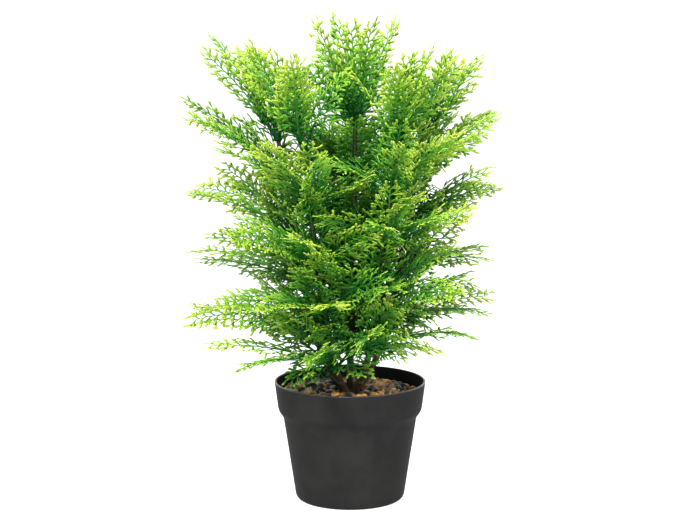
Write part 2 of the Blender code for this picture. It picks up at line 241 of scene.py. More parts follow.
def ring_faces(rings, sides):
    """Faces of a closed tube: quads between the rings and a cap at each end."""
    faces = [[i * sides + k, i * sides + (k + 1) % sides, (i + 1) * sides + (k + 1) % sides,
              (i + 1) * sides + k] for i in range(rings - 1) for k in range(sides)]
    faces.append(list(range(sides))[::-1])
    faces.append([(rings - 1) * sides + k for k in range(sides)])
    return faces


# ---------------------------------------------------------------- stems
def stem_route(length, foot_lean, top_lean):
    """Points and leans of a stem from its pivot, in its own plane (x outward, z up)."""
    points = [Vector((0, 0, 0))]
    leans = [math.radians(foot_lean)]
    step = length / ROUTE_STEPS
    for i in range(ROUTE_STEPS):
        middle = (i + 0.5) * step
        lean = math.radians(top_lean + (foot_lean - top_lean) * math.exp(-middle / LEAN_FADE))
        points.append(points[-1] + step * Vector((math.sin(lean), 0, math.cos(lean))))
        leans.append(lean)
    return points, leans


def route_point(route, share):
    points, leans = route
    place_on = share * ROUTE_STEPS
    i = min(int(place_on), ROUTE_STEPS - 1)
    return points[i].lerp(points[i + 1], place_on - i), leans[i + 1]


def stem_radius(share):
    return FOOT_RADIUS + (TIP_RADIUS - FOOT_RADIUS) * share


def wobble(number):
    """An even, repeatable scatter between -1 and 1."""
    return 2 * ((number * GOLDEN_SHARE) % 1) - 1


def cluster_plan(order, index, reach):
    """Station and sprays (turn, length, start slope, end slope, roll) of an outer cluster."""
    spacing = (LAST_STATION - FIRST_STATION) / (CLUSTERS_PER_STEM - 1)
    last = index == CLUSTERS_PER_STEM - 1
    phase = (order * 2 % len(STEM_REACH)) / (len(STEM_REACH) - 1) - 0.5
    station = LAST_STATION if last else FIRST_STATION + index * spacing + STAGGER * phase
    height = index / (CLUSTERS_PER_STEM - 1)
    sprays = []
    for k in (-1, 0, 1):
        number = SPRAYS_PER_CLUSTER * (order * CLUSTERS_PER_STEM + index) + k
        turn = FAN * k + (TURN_OFFSET if index % 2 else -TURN_OFFSET)
        length = FROND_LENGTH * reach * LEVEL_REACH[index] * (1 - SIDE_SHORTENING * abs(k))
        start = START_SLOPE + START_RISE * height ** 2 + SLOPE_SCATTER * wobble(number)
        end = END_SLOPE + END_RISE * height ** 2 + SLOPE_SCATTER * wobble(number + 0.5)
        roll = ROLL_SCATTER * wobble(2 * number + 1)
        sprays.append((turn, length, start, end, roll))
    return station, sprays


def centre_plan(index):
    """The same for the centre stem."""
    gap = 360 / len(STEM_REACH)
    if index == len(CENTRE_GAPS):
        turns = [-66 + 90 * k for k in range(4)]
    else:
        turns = [-90 + gap * k for k in CENTRE_GAPS[index]]
    length = FROND_LENGTH * CENTRE_REACH[index]
    return CENTRE_STATIONS[index], [
        (turn, length, CENTRE_STARTS[index], CENTRE_ENDS[index], CENTRE_ROLL) for turn in turns]


# ---------------------------------------------------------------- sprays
def blades(start, along, across, length, half_width, thickness, curve, shares, widths):
    """Flat tapered blades, all with the same rings: points, faces, ring shares."""
    count, rings = len(start), len(shares)
    t = np.asarray(shares)[None, :, None]
    w = np.asarray(widths)[None, :, None]
    normal = np.cross(along, across)
    ell = length[:, None, None]
    sag = (curve * length)[:, None, None]
    spine = start[:, None, :] + along[:, None, :] * ell * t + across[:, None, :] * sag * t * t
    side = across[:, None, :] * half_width[:, None, None] * w
    lift = normal[:, None, :] * thickness[:, None, None] * w
    ring = np.stack([spine + side, spine + lift, spine - side, spine - lift * 0.7], axis=2)
    base = (np.arange(count) * rings * 4)[:, None, None]
    level = (np.arange(rings - 1) * 4)[None, :, None]
    k = np.arange(4)[None, None, :]
    k2 = (k + 1) % 4
    quads = np.stack([base + level + k, base + level + k2, base + level + 4 + k2,
                      base + level + 4 + k], axis=-1)
    first = np.arange(count)[:, None] * rings * 4
    last = first + (rings - 1) * 4
    caps = np.concatenate([first + np.array([[3, 2, 1, 0]]), last + np.array([[0, 1, 2, 3]])])
    faces = np.concatenate([quads.reshape(-1, 4), caps])
    return ring.reshape(-1, 3), faces, np.repeat(np.tile(np.asarray(shares), count), 4)


def rachis_sway(share, length, seed):
    """How far to the side a spray's rib lies at a share of its length."""
    return SWAY * length * np.sin(share * SWAY_TURNS + seed)


def pinna_table(length, half_width, r):
    """Root, side, angle, length and lift of each pinna, in the order they are drawn."""
    rows = []
    x = FIRST_PINNA * length
    while x < LAST_PINNA * length:
        s = x / length
        gap = PINNA_GAP * (1 - PINNA_GAP_FALL * s)
        grow = 0.60 + 0.40 * min(1, s / 0.22)
        fade = 1 if s < 0.3 else 1 - 0.66 * ((s - 0.3) / 0.7) ** 1.15
        full = half_width / math.sin(math.radians(PINNA_ANGLE))
        for side in (-1, 1):
            shift = 0.5 * gap if side > 0 else 0
            angle = math.radians(PINNA_ANGLE - PINNA_ANGLE_FALL * s + r.normal(0, 2.5))
            ell = full * grow * fade * r.uniform(0.90, 1.07)
            rows.append((x + shift, side, angle, ell, r.normal(0, 0.12)))
        x += gap
    return np.array(rows).T


def lobe_table(side, ell, r):
    """Pinna, share of its length, side, size, turn and lift of each lobe."""
    rows = []
    for i in range(len(ell)):
        share = FIRST_LOBE + r.uniform(-0.02, 0.02)
        which = side[i]
        full = LOBE_LENGTH * (0.62 + 0.38 * min(1.0, ell[i] / FULL_PINNA))
        while share < LAST_LOBE:
            size = full * (1.04 - 0.42 * share) * r.uniform(0.86, 1.1)
            turn = math.radians(r.normal(LOBE_ANGLE, 3))
            rows.append((i, share, which, size, turn, r.normal(0, 0.17)))
            share += LOBE_GAP * (1 - 0.25 * share) / ell[i]
            which = -which
    return np.array(rows)


def fork_parts(spot, way, flat, which, size, wide, reach, r):
    """Small fingers on the longer lobes."""
    groups = []
    forked = (size > FORKED_LOBE) & (r.random(len(size)) < FORK_CHANCE)
    split = math.radians(FORK_ANGLE)
    for sign, at, chance, share in ((1, 0.36, 1.0, 0.52), (-1, 0.52, 0.4, 0.42)):
        chosen = forked & (r.random(len(size)) < chance)
        root = spot[chosen] + way[chosen] * column(size[chosen] * at)
        aside = flat[chosen] * column(sign * which[chosen] * math.sin(split))
        arm = unit(way[chosen] * math.cos(split) + aside)
        half = wide[chosen] * 0.88
        p, f, t = blades(root, arm, unit(np.cross(UP, arm)), size[chosen] * share, half,
                         half * 0.40, -sign * which[chosen] * 0.1, FORK_RINGS, FORK_WIDTHS)
        groups.append((p, f, np.repeat(reach[chosen], 4 * len(FORK_RINGS)) + 0.14 + 0.14 * t))
    return groups


def rachis_parts(length, seed):
    """A spray's tapered middle rib."""
    u = np.linspace(0, 1, RACHIS_STEPS)
    x = u * length
    y = rachis_sway(u, length, seed) * np.minimum(1, u * 8)
    radius = column(RACHIS_HALF_WIDTH * (1 - RACHIS_TAPER * u))
    angle = np.arange(RACHIS_SIDES) / RACHIS_SIDES * 2 * math.pi
    ring = np.stack([np.repeat(x, RACHIS_SIDES),
                     np.repeat(y, RACHIS_SIDES) + (radius * np.cos(angle)).ravel(),
                     (radius * np.sin(angle) * 0.8).ravel()], axis=1)
    return ring, ring_faces(RACHIS_STEPS, RACHIS_SIDES), np.repeat(u * 0.45, RACHIS_SIDES)


def frond_parts(length, half_width, seed):
    """A flat spray along +X in its own plane: points, faces and how near each is to a tip."""
    r = np.random.default_rng(seed)
    px, side, angle, ell, lift = pinna_table(length, half_width, r)
    start = np.stack([px, rachis_sway(px / length, length, seed), np.zeros_like(px)], axis=1)
    along = unit(np.stack([np.cos(angle), side * np.sin(angle), lift], axis=1))
    across = unit(np.cross(UP, along))
    bend = -side * PINNA_CURVE
    fullness = ell / ell.max()
    width = np.full(len(px), PINNA_HALF_WIDTH) * (0.75 + 0.25 * fullness)
    p, f, t = blades(start, along, across, ell, width, width * 0.75, bend,
                     PINNA_RINGS, PINNA_WIDTHS)
    rings = 4 * len(PINNA_RINGS)
    groups = [(p, f, 0.5 * np.repeat(px / length, rings) + 0.5 * t * np.repeat(fullness, rings))]
    lobe = lobe_table(side, ell, r)
    i = lobe[:, 0].astype(int)
    share, which, size, turn, raised = lobe[:, 1:].T
    aside = across[i] * column(bend[i] * ell[i] * share ** 2)
    spot = start[i] + along[i] * column(ell[i] * share) + aside
    heading = unit(along[i] + across[i] * column(2 * bend[i] * share))
    flank = unit(np.cross(np.cross(heading, across[i]), heading))
    way = heading * column(np.cos(turn)) + flank * column(which * np.sin(turn))
    way = unit(way + UP * column(raised))
    flat = unit(np.cross(UP, way))
    wide = np.full(len(lobe), LOBE_HALF_WIDTH) * (0.78 + 0.22 * size / LOBE_LENGTH)
    p, f, t = blades(spot, way, flat, size, wide, wide * 0.40, -which * LOBE_CURVE,
                     LOBE_RINGS, LOBE_WIDTHS)
    reach = 0.46 * px[i] / length + 0.40 * share * ell[i] / ell.max()
    groups.append((p, f, np.repeat(reach, 4 * len(LOBE_RINGS)) + 0.26 * t))
    groups += fork_parts(spot, way, flat, which, size, wide, reach, r)
    groups.append(rachis_parts(length, seed))
    return groups


def bend_points(points, length, start, end, roll, cup, turn, root):
    """Takes flat spray points onto an arc that leaves the hub at the start slope."""
    a, b = math.radians(start), math.radians(end)
    u = points[:, 0] / length
    slope = a + (b - a) * u
    run = length / (b - a) * (np.sin(slope) - math.sin(a))
    rise = length / (b - a) * (math.cos(a) - np.cos(slope))
    zero = np.zeros_like(run)
    normal = np.stack([-np.sin(slope), zero, np.cos(slope)], axis=1)
    tilt = math.radians(roll) * np.clip(u / 0.12, 0, 1)
    across = np.stack([zero, np.cos(tilt), zero], axis=1) + normal * column(np.sin(tilt))
    up = normal * column(np.cos(tilt)) - np.stack([zero, np.sin(tilt), zero], axis=1)
    spine = np.stack([root + run, zero, rise], axis=1)
    y = points[:, 1]
    height = points[:, 2] + cup * np.abs(y) ** 1.6 / CUP_SPAN ** 0.6
    return turned_about_z(spine + across * column(y) + up * column(height), turn)


def hub_parts(lean, shaft_radius):
    """Moulded collar round the stem, with a lip at each end."""
    bore = shaft_radius + HUB_CLEARANCE
    half = HUB_LENGTH / 2
    profile = [(bore, -half), (bore + 0.0009, -half), (bore + 0.0017, -half * 0.8),
               (bore + 0.0014, -half * 0.35), (bore + 0.0017, half * 0.1), (bore + 0.0013, half * 0.7),
               (bore + 0.0008, half), (bore, half)]
    ring = revolved(profile, HUB_SIDES)
    n = len(profile)
    quads = [[i * HUB_SIDES + k, i * HUB_SIDES + (k + 1) % HUB_SIDES,
              ((i + 1) % n) * HUB_SIDES + (k + 1) % HUB_SIDES, ((i + 1) % n) * HUB_SIDES + k]
             for i in range(n) for k in range(HUB_SIDES)]
    c, s = math.cos(lean), math.sin(lean)
    tilted = np.stack([ring[:, 0] * c + ring[:, 2] * s, ring[:, 1],
                       -ring[:, 0] * s + ring[:, 2] * c], axis=1)
    return tilted, quads


def cluster_mesh(name, lean, shaft_radius, sprays, azimuth, outward, height, seed):
    """Hub and sprays as one mesh about the hub's centre, turned to the stem's azimuth."""
    points, faces, near, tint = [], [], [], []
    count = 0

    def add(p, f, t, shade):
        nonlocal count
        points.append(p)
        faces.extend((f + count).tolist() if isinstance(f, np.ndarray)
                     else [[v + count for v in face] for face in f])
        near.append(t)
        tint.append(np.full(len(p), shade))
        count += len(p)

    ring, quads = hub_parts(lean, shaft_radius)
    add(ring, quads, np.zeros(len(ring)), 0.3)
    root = (shaft_radius + HUB_WALL) / math.cos(lean)
    for k, (turn, length, start, end, roll, half_width) in enumerate(sprays):
        code = seed * 10 + k
        r = np.random.default_rng(code + 500)
        cup = r.uniform(-0.22, 0.12)
        shade = r.uniform(0, 1)
        for p, f, t in frond_parts(length, half_width, code):
            add(bend_points(p, length, start, end, roll, cup, turn, root), f, t, shade)
    points = np.concatenate(points)
    # share out of the tree's heart, kept in the outer attribute; tips nearer the heart get painted
    # shade
    level = np.hypot(points[:, 0] + outward, points[:, 1])
    reach = np.hypot(level, np.maximum(points[:, 2] + height - SHADED_HEART_TOP, 0))
    unshaded_share = np.clip((reach - SHADED_HEART_RADIUS) / (UNSHADED_CROWN_RADIUS - SHADED_HEART_RADIUS), 0, 1)
    return mesh_of(name, turned_about_z(points, azimuth), faces,
                   near_tip=np.clip(np.concatenate(near), 0, 1), outer=unshaded_share,
                   tint=np.concatenate(tint))


# ---------------------------------------------------------------- materials
def node_material(name):
    made = bpy.data.materials.new(name)
    made.use_nodes = True
    tree = made.node_tree
    return made, tree, tree.nodes["Principled BSDF"]


def add_node(tree, kind, **settings):
    node = tree.nodes.new(kind)
    for key, value in settings.items():
        if key in node.inputs:
            node.inputs[key].default_value = value
        else:
            setattr(node, key, value)
    return node


def math_node(tree, operation, *values):
    """A math node whose inputs are linked sockets or plain numbers."""
    node = add_node(tree, "ShaderNodeMath", operation=operation)
    for slot, value in enumerate(values):
        if isinstance(value, float):
            node.inputs[slot].default_value = value
        else:
            tree.links.new(value, node.inputs[slot])
    return node.outputs[0]


def ramp(tree, source, stops):
    node = tree.nodes.new("ShaderNodeValToRGB")
    elements = node.color_ramp.elements
    elements.remove(elements[1])
    for i, (spot, colour) in enumerate(stops):
        point = elements.new(spot) if i else elements[0]
        point.position = spot
        point.color = (*colour, 1)
    tree.links.new(source, node.inputs["Fac"])
    return node.outputs["Color"]


def bump(tree, shader, height, strength, distance):
    node = add_node(tree, "ShaderNodeBump", Strength=strength, Distance=distance)
    tree.links.new(height, node.inputs["Height"])
    tree.links.new(node.outputs["Normal"], shader.inputs["Normal"])


def foliage_material():
    """Two-tone plastic, deep green roots and yellow-green tips; the tips are painted darker towards the
    tree's heart, as painted shade.
    """
    made, tree, shader = node_material("foliage_plastic")
    near = add_node(tree, "ShaderNodeAttribute", attribute_name="near_tip")
    tint = add_node(tree, "ShaderNodeAttribute", attribute_name="tint")
    outer = add_node(tree, "ShaderNodeAttribute", attribute_name="outer")
    place = tree.nodes.new("ShaderNodeTexCoord")
    cloud = add_node(tree, "ShaderNodeTexNoise", Scale=42.0, Detail=2.0)
    tree.links.new(place.outputs["Object"], cloud.inputs["Vector"])
    # the outer attribute makes the tips less light in the tree's heart, as painted shade
    share = math_node(tree, "MULTIPLY_ADD", outer.outputs["Fac"], TIPS_UNSHADED_BY_RADIUS, TIPS_IN_SHADED_HEART)
    tip_tone_and_shade = math_node(tree, "MULTIPLY", near.outputs["Fac"], share)
    mix = math_node(tree, "MULTIPLY_ADD", cloud.outputs["Fac"], CLOUD_SHARE, tip_tone_and_shade)
    shift = math_node(tree, "MULTIPLY_ADD", tint.outputs["Fac"], TINT_SHARE, mix)
    scaled = math_node(tree, "SUBTRACT", shift, TONE_OFFSET)
    colour = ramp(tree, scaled, [
        (0.0, (0.002, 0.050, 0.010)), (0.25, (0.010, 0.106, 0.010)), (0.46, (0.052, 0.207, 0.015)),
        (0.68, (0.162, 0.332, 0.024)), (0.90, (0.355, 0.465, 0.050))])
    tree.links.new(colour, shader.inputs["Base Color"])
    shader.inputs["Roughness"].default_value = 0.36
    shader.inputs["Specular IOR Level"].default_value = 0.16
    shader.inputs["Subsurface Weight"].default_value = 0.12
    shader.inputs["Subsurface Radius"].default_value = (0.4, 1.0, 0.15)
    shader.inputs["Subsurface Scale"].default_value = 0.0025
    grain = add_node(tree, "ShaderNodeTexNoise", Scale=900.0, Detail=2.0)
    tree.links.new(place.outputs["Object"], grain.inputs["Vector"])
    bump(tree, shader, grain.outputs["Fac"], 0.25, 0.0003)
    return made


def bark_material():
    made, tree, shader = node_material("bark_plastic")
    place = tree.nodes.new("ShaderNodeTexCoord")
    stretch = add_node(tree, "ShaderNodeMapping", Scale=(1.0, 1.0, 0.22))
    tree.links.new(place.outputs["Object"], stretch.inputs["Vector"])
    grain = add_node(tree, "ShaderNodeTexNoise", Scale=620.0, Detail=5.0, Roughness=0.65)
    tree.links.new(stretch.outputs["Vector"], grain.inputs["Vector"])
    colour = ramp(tree, grain.outputs["Fac"], [
        (0.30, (0.008, 0.004, 0.0012)), (0.50, (0.032, 0.016, 0.004)), (0.72, (0.095, 0.050, 0.013))])
    tree.links.new(colour, shader.inputs["Base Color"])
    shader.inputs["Roughness"].default_value = 0.62
    bump(tree, shader, grain.outputs["Fac"], 0.8, 0.0006)
    return made


def pot_material(name, gloss, rough_low, rough_high):
    """Matt black plastic; the trimmed lip is smoother than the rest."""
    made, tree, shader = node_material(name)
    place = tree.nodes.new("ShaderNodeTexCoord")
    fine = add_node(tree, "ShaderNodeTexNoise", Scale=1500.0, Detail=3.0, Roughness=0.6)
    tree.links.new(place.outputs["Object"], fine.inputs["Vector"])
    broad = add_node(tree, "ShaderNodeTexNoise", Scale=26.0, Detail=4.0, Roughness=0.6)
    tree.links.new(place.outputs["Object"], broad.inputs["Vector"])
    colour = ramp(tree, broad.outputs["Fac"], [
        (0.35, (0.011, 0.011, 0.011)), (0.65, (0.017, 0.017, 0.0165))])
    tree.links.new(colour, shader.inputs["Base Color"])
    rough = ramp(tree, broad.outputs["Fac"], [(0.3, (rough_low,) * 3), (0.7, (rough_high,) * 3)])
    tree.links.new(rough, shader.inputs["Roughness"])
    shader.inputs["Specular IOR Level"].default_value = gloss
    bump(tree, shader, fine.outputs["Fac"], 0.35, 0.0003)
    return made


def stone_material():
    made, tree, shader = node_material("gravel_stones")
    kind = add_node(tree, "ShaderNodeAttribute", attribute_name="kind")
    place = tree.nodes.new("ShaderNodeTexCoord")
    veins = add_node(tree, "ShaderNodeTexNoise", Scale=330.0, Detail=6.0, Roughness=0.7)
    tree.links.new(place.outputs["Object"], veins.inputs["Vector"])
    base = ramp(tree, kind.outputs["Fac"], [
        (0.0, (0.006, 0.007, 0.009)), (0.15, (0.022, 0.024, 0.030)), (0.23, (0.10, 0.058, 0.014)),
        (0.42, (0.22, 0.115, 0.024)), (0.58, (0.46, 0.18, 0.030)), (0.76, (0.60, 0.29, 0.070)),
        (0.92, (0.60, 0.38, 0.14)), (1.0, (0.66, 0.50, 0.28))])
    dark = ramp(tree, veins.outputs["Fac"], [(0.34, (0.45, 0.40, 0.36)), (0.62, (1.0, 1.0, 1.0))])
    blend = add_node(tree, "ShaderNodeMix", data_type="RGBA", blend_type="MULTIPLY")
    blend.inputs[0].default_value = 0.85
    tree.links.new(base, blend.inputs[6])
    tree.links.new(dark, blend.inputs[7])
    tree.links.new(blend.outputs[2], shader.inputs["Base Color"])
    shader.inputs["Roughness"].default_value = 0.38
    shader.inputs["Coat Weight"].default_value = 0.10
    shader.inputs["Coat Roughness"].default_value = 0.15
    bump(tree, shader, veins.outputs["Fac"], 0.5, 0.0006)
    return made


def bed_material():
    """Brown grit between the stones, painted dark between its grains and overall, as painted shade of
    the gaps.
    """
    made, tree, shader = node_material("gravel_bed")
    place = tree.nodes.new("ShaderNodeTexCoord")
    grit_and_gap_shade = add_node(tree, "ShaderNodeTexVoronoi", Scale=420.0)
    tree.links.new(place.outputs["Object"], grit_and_gap_shade.inputs["Vector"])
    # brown at each grain's middle, near black between grains: the grit's colour plus painted shade of
    # the crevices and of the gaps between the stones
    colour = ramp(tree, grit_and_gap_shade.outputs["Distance"], [
        (0.0, (0.12, 0.075, 0.035)), (0.5, (0.04, 0.026, 0.015)), (0.9, (0.012, 0.009, 0.006))])
    tree.links.new(colour, shader.inputs["Base Color"])
    shader.inputs["Roughness"].default_value = 0.8
    bump(tree, shader, grit_and_gap_shade.outputs["Distance"], 0.8, 0.001)
    return made


def cement_material():
    made, tree, shader = node_material("cast_cement")
    place = tree.nodes.new("ShaderNodeTexCoord")
    grain = add_node(tree, "ShaderNodeTexNoise", Scale=240.0, Detail=6.0)
    tree.links.new(place.outputs["Object"], grain.inputs["Vector"])
    colour = ramp(tree, grain.outputs["Fac"], [(0.3, (0.30, 0.285, 0.26)), (0.7, (0.52, 0.50, 0.46))])
    tree.links.new(colour, shader.inputs["Base Color"])
    shader.inputs["Roughness"].default_value = 0.9
    bump(tree, shader, grain.outputs["Fac"], 0.5, 0.0008)
    return made


def wire_material():
    made, tree, shader = node_material("steel_wire")
    place = tree.nodes.new("ShaderNodeTexCoord")
    grain = add_node(tree, "ShaderNodeTexNoise", Scale=700.0, Detail=2.0)
    tree.links.new(place.outputs["Object"], grain.inputs["Vector"])
    colour = ramp(tree, grain.outputs["Fac"], [(0.3, (0.45, 0.45, 0.46)), (0.7, (0.62, 0.62, 0.63))])
    tree.links.new(colour, shader.inputs["Base Color"])
    shader.inputs["Metallic"].default_value = 1.0
    shader.inputs["Roughness"].default_value = 0.35
    return made


# ---------------------------------------------------------------- load the frame
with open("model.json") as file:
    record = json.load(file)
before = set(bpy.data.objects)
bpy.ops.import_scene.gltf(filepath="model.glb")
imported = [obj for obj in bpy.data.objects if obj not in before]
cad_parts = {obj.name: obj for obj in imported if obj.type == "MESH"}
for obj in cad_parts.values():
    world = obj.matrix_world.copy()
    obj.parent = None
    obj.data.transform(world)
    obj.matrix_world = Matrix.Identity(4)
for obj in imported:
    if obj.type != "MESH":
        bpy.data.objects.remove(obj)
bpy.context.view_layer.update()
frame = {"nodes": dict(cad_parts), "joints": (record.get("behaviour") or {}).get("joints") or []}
nodes = frame["nodes"]
joints = {joint["name"]: joint for joint in frame["joints"]}

FOLIAGE = foliage_material()
BARK = bark_material()
POT = pot_material("pot_plastic", 0.05, 0.60, 0.72)
POT_LIP = pot_material("pot_lip", 0.6, 0.26, 0.36)
STONES = stone_material()
BED = bed_material()
CEMENT = cement_material()
WIRE = wire_material()

pot_low, pot_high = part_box("pot")
RIM_Z = pot_high[2]
RIM_RADIUS = pot_high[0]


# ---------------------------------------------------------------- pieces
def turned(name, profile, sides, finish):
    """Closed (radius, height) profile turned round Z."""
    n = len(profile)
    quads = [[i * sides + k, ((i + 1) % n) * sides + k, ((i + 1) % n) * sides + (k + 1) % sides,
              i * sides + (k + 1) % sides] for i in range(n) for k in range(sides)]
    return new_object(name, mesh_of(name, revolved(profile, sides), quads), finish)


def rounded(corners, radius, steps=6):
    """An open outline with its inner corners rounded."""
    out = [corners[0]]
    for before, corner, after in zip(corners, corners[1:], corners[2:]):
        p, q, s = Vector(before), Vector(corner), Vector(after)
        size = min(radius, (p - q).length * 0.45, (s - q).length * 0.45)
        a = q + (p - q).normalized() * size
        b = q + (s - q).normalized() * size
        for i in range(steps + 1):
            t = i / steps
            out.append(tuple(a * (1 - t) ** 2 + q * 2 * t * (1 - t) + b * t * t))
    out.append(corners[-1])
    return out


def make_pot():
    """Blow-moulded pot: thin rolled lip, stepped band, tapered side, flat underside."""
    corners = [(AXIS_HOLE, 0), (BASE_RADIUS, 0), SHOULDER, BAND_FOOT, (RIM_RADIUS, RIM_Z - LIP_STEP),
               (RIM_RADIUS - POT_WALL, RIM_Z), (BAND_FOOT[0] - POT_WALL, BAND_FOOT[1] + INNER_RISE),
               (SHOULDER[0] - POT_WALL, SHOULDER[1]), (INNER_BASE_RADIUS, POT_FLOOR),
               (AXIS_HOLE, POT_FLOOR)]
    profile = rounded(corners[:3], BASE_ROUND)[:-1]
    profile += rounded(corners[1:5], SHOULDER_ROUND)[1:-1]
    profile += rounded(corners[3:6], LIP_ROUND)[1:-1]
    profile += rounded(corners[4:7], LIP_ROUND)[1:-1]
    profile += rounded(corners[5:], INNER_ROUND)[1:]
    profile = profile[::-1]
    pot = turned("nursery_pot", profile, POT_SIDES, POT)
    pot.data.materials.append(POT_LIP)
    for face in pot.data.polygons:
        face.material_index = int(face.center.z > RIM_Z - LIP_DEPTH)
    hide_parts("pot")
    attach(pot, "base")
    return pot


def gravel_height(radius):
    """Height of the gravel's surface at a distance from the axis."""
    crown = RIM_Z - GRAVEL_DEPTH
    share = (radius - GRAVEL_HOLE) / (GRAVEL_RADIUS - GRAVEL_HOLE)
    if share < CROWN_SHARE:
        return crown - GRAVEL_CENTRE_DROP * (1 - max(share, 0) / CROWN_SHARE) ** 2
    return crown - GRAVEL_EDGE_DROP * ((share - CROWN_SHARE) / (1 - CROWN_SHARE)) ** 2


def stone_shape(ball, size, pebble):
    """A ball made into a rounded pebble, or into a chip by cutting facets."""
    shape = np.array([1.0, rng.uniform(0.62, 0.9), rng.uniform(0.45, 0.75)]) * size * 1.12
    body = ball * shape
    offset = rng.uniform(-50, 50, 3)
    wave = np.array([noise.noise(Vector(v * 1.3 + offset)) for v in ball])
    body = body * (1 + (0.16 if pebble else 0.30) * wave)[:, None]
    for _ in range(0 if pebble else 5):
        way = unit(rng.normal(0, 1, 3))
        over = np.maximum(body @ way - size * rng.uniform(0.42, 0.72), 0)
        body = body - over[:, None] * way * 0.9
    a, b, c = rng.uniform(0, 2 * math.pi), rng.normal(0, 0.35), rng.normal(0, 0.35)
    spin = Matrix.Rotation(a, 3, "Z") @ Matrix.Rotation(b, 3, "X") @ Matrix.Rotation(c, 3, "Y")
    return body @ np.array(spin).T


def stone_tone():
    """Place on the stones' colour ramp: slate, brown, orange or cream."""
    pick = rng.random()
    if pick < 0.30:
        return rng.uniform(0.0, 0.18)
    if pick < 0.60:
        return rng.uniform(0.26, 0.48)
    if pick < 0.90:
        return rng.uniform(0.52, 0.85)
    return rng.uniform(0.88, 1.0)


def make_stones():
    """Mixed pebbles and chips, scattered over the bonded bed."""
    source = bmesh.new()
    bmesh.ops.create_icosphere(source, subdivisions=3, radius=1)
    ball = np.array([v.co[:] for v in source.verts])
    tris = np.array([[v.index for v in face.verts] for face in source.faces])
    source.free()
    points, faces, kinds, centres = [], [], [], []
    tries = 0
    while len(centres) < GRAVEL_STONES and tries < GRAVEL_TRIES:
        tries += 1
        large = tries < LARGE_TRIES
        size = rng.uniform(0.0036, 0.0066) if large else rng.uniform(0.0016, 0.0030)
        radius = STONE_LIMIT - size * 0.7
        distance = math.sqrt(rng.uniform((STONE_START / radius) ** 2, 1)) * radius
        turn = rng.uniform(0, 2 * math.pi)
        x, y = distance * math.cos(turn), distance * math.sin(turn)
        if any((c[0] - x) ** 2 + (c[1] - y) ** 2 < ((c[2] + size) * 0.78) ** 2 for c in centres):
            continue
        centres.append((x, y, size))
        z = gravel_height(distance) + size * rng.uniform(0.05, 0.35)
        pebble = rng.random() < PEBBLE_SHARE
        body = stone_shape(ball, size, pebble)
        faces.append(tris + len(ball) * len(points))
        points.append(body + np.array([x, y, z]))
        kinds.append(np.full(len(ball), stone_tone()))
    mesh = mesh_of("stones", np.concatenate(points), np.concatenate(faces),
                   kind=np.concatenate(kinds))
    stones = new_object("gravel_stones", mesh, STONES)
    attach(stones, "base")
    return stones


def ways_of(azimuth):
    """The outward and sideways directions at an azimuth."""
    h = math.radians(azimuth)
    return Vector((math.cos(h), math.sin(h), 0)), Vector((-math.sin(h), math.cos(h), 0))


def tube_points(centres, frames, radii, sides):
    """Points and faces of a tube whose rings lie in the given frames."""
    turn = np.arange(sides) / sides * 2 * math.pi
    rings = []
    for centre, (x_way, y_way), radius in zip(centres, frames, radii):
        x_way, y_way = np.array(x_way), np.array(y_way)
        rings.append([np.array(centre) + radius * (math.cos(t) * x_way + math.sin(t) * y_way)
                      for t in turn])
    return np.array(rings).reshape(-1, 3), ring_faces(len(centres), sides)


def make_stem(name, pivot, azimuth, route):
    """Bark-textured stem along the frame's route."""
    steps, sides = STEM_STEPS, STEM_SIDES
    out_way, side_way = ways_of(azimuth)
    centres, frames, radii = [], [], []
    for i in range(steps + 1):
        share = i / steps
        point, _ = route_point(route, share)
        ahead, _ = route_point(route, min(1, share + 0.03))
        behind, _ = route_point(route, max(0, share - 0.03))
        way = (ahead - behind).normalized()
        world = pivot + out_way * point.x + Vector((0, 0, point.z))
        along = out_way * way.x + Vector((0, 0, way.z))
        centres.append(world)
        frames.append((side_way.cross(along), side_way))
        radii.append(stem_radius(share))
    points, quads = tube_points(centres, frames, radii, sides)
    moved = []
    for i, p in enumerate(points):
        centre = np.array(centres[i // sides])
        coarse = noise.noise(Vector(p * np.array(COARSE_BARK)))
        fine = noise.noise(Vector(p * np.array(FINE_BARK)))
        moved.append(centre + (p - centre) * (0.98 + 0.07 * coarse + 0.04 * fine))
    mesh = mesh_of("stem", np.array(moved), quads)
    stem = new_object("bark_stem_" + name, mesh, BARK)
    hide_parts("stem_" + name)
    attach(stem, name + "_stem")
    return stem


def make_sleeve(name, pivot, azimuth, lean):
    """Soft sleeve over the bend at a stem's foot."""
    steps, sides = SLEEVE_STEPS, STEM_SIDES
    out_way, side_way = ways_of(azimuth)
    along = out_way * math.sin(lean) + Vector((0, 0, math.cos(lean)))
    centres, frames, radii = [], [], []
    for i in range(steps + 1):
        share = i / steps
        centres.append(pivot + along * (SLEEVE_START + SLEEVE_LENGTH * share))
        frames.append((side_way.cross(along), side_way))
        swell = 1.06 + 0.22 * math.exp(-((share - 0.05) / 0.25) ** 2) + 0.06 * math.sin(share * 40)
        radii.append(FOOT_RADIUS * (swell - 0.05 * share) * (1 if i < steps else 0.92))
    points, quads = tube_points(centres, frames, radii, sides)
    mesh = mesh_of("sleeve", points, quads)
    sleeve = new_object("foot_sleeve_" + name, mesh, BARK)
    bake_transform(sleeve)
    return sleeve


def shoot(r, turn, turns, lengths, starts, ends, roll, half_width):
    """One spray (turn, length, start slope, end slope, roll, half width) within ranges."""
    return (turn + r.uniform(-turns, turns) if turns else turn, r.uniform(*lengths),
            r.uniform(*starts), r.uniform(*ends), r.uniform(-roll, roll), half_width)


